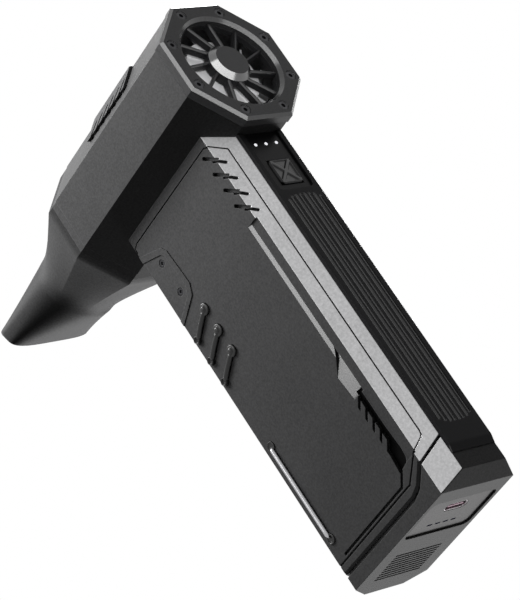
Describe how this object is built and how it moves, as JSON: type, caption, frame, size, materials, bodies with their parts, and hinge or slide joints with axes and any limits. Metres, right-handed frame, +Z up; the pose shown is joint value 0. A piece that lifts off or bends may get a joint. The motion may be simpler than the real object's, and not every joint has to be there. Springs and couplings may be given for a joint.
{
  "type": "cordless turbo blower",
  "caption": "Cordless car-drying blower with an octagonal fan barrel, a flattened pull-off nozzle and a flat battery handle it stands on.",
  "frame": {"origin": "centre of the flat foot of the handle, midway between its front face and the rear edge of the foot", "axes": "+Z up along the handle, -X the way the nozzle blows, +X towards the air intake, -Y the side with the intake guard seen on the right"},
  "size_m": [0.1261, 0.0434, 0.1647],
  "materials": {
    "body": "dark grey, fine spark texture",
    "nozzle": "near-black satin",
    "trim": "silver, fine bead-blasted",
    "fan": "milled",
    "grip": "soft ribbed rubber",
    "panel": "smooth black",
    "hose": "black",
    "foot_panel": "grey",
    "lights": "clear diffuser",
    "steel": "turned",
    "copper": "enamelled windings",
    "board": "solder mask",
    "cell": "shrink sleeve"
  },
  "bodies": {
    "housing": {"barrel_shell": "body", "shoulder_vent": "body", "intake_ring": "body", "intake_guard": "body", "ring_screws": "steel", "duct_tube": "body", "duct_dampers": "grip", "front_collar": "body", "collar_seal": "hose", "motor_mount": "body", "motor_case": "steel", "motor_stator": "copper", "motor_bearings": "steel", "tail_cone": "body", "motor_leads": "hose", "handle_shell_left": "body", "handle_shell_right": "body", "edge_trim_left": "trim", "edge_trim_right": "trim", "corner_plate_left": "body", "corner_plate_right": "body", "plate_screws": "steel", "side_hoses_left": "hose", "side_hoses_right": "hose", "side_rod_left": "trim", "side_rod_right": "trim", "rear_grip": "grip", "front_grip": "grip", "control_panel": "panel", "status_lights": "lights", "button_switch": "steel", "control_board": "board", "pocket_pad_left": "hose", "pocket_pad_right": "hose", "foot_cap": "body", "foot_trim_left": "trim", "foot_trim_right": "trim", "charge_panel": "foot_panel", "charge_lights": "lights", "usb_socket": "steel", "charge_board": "board", "battery_cells": "cell", "cell_holder": "panel"},
    "rotor": {"impeller": "fan", "impeller_nut": "steel", "motor_shaft": "steel", "rotor_magnet": "steel"},
    "power_key": {"power_button": "body"},
    "nozzle_body": {"nozzle": "nozzle"}
  },
  "joints": [
    {"name": "fan_spin", "type": "hinge", "parent": "housing", "child": "rotor", "pos_m": [0.028, 0, 0.1424], "axis": [1, 0, 0], "continuous": true},
    {"name": "power_press", "type": "slide", "parent": "housing", "child": "power_key", "axis": [-1, 0, 0], "range_m": [0, 0.0008], "stiffness_N_per_m": 1500},
    {"name": "nozzle_pull", "type": "slide", "parent": "housing", "child": "nozzle_body", "axis": [-1, 0, 0], "range_m": [0, 0.007]}
  ]
}
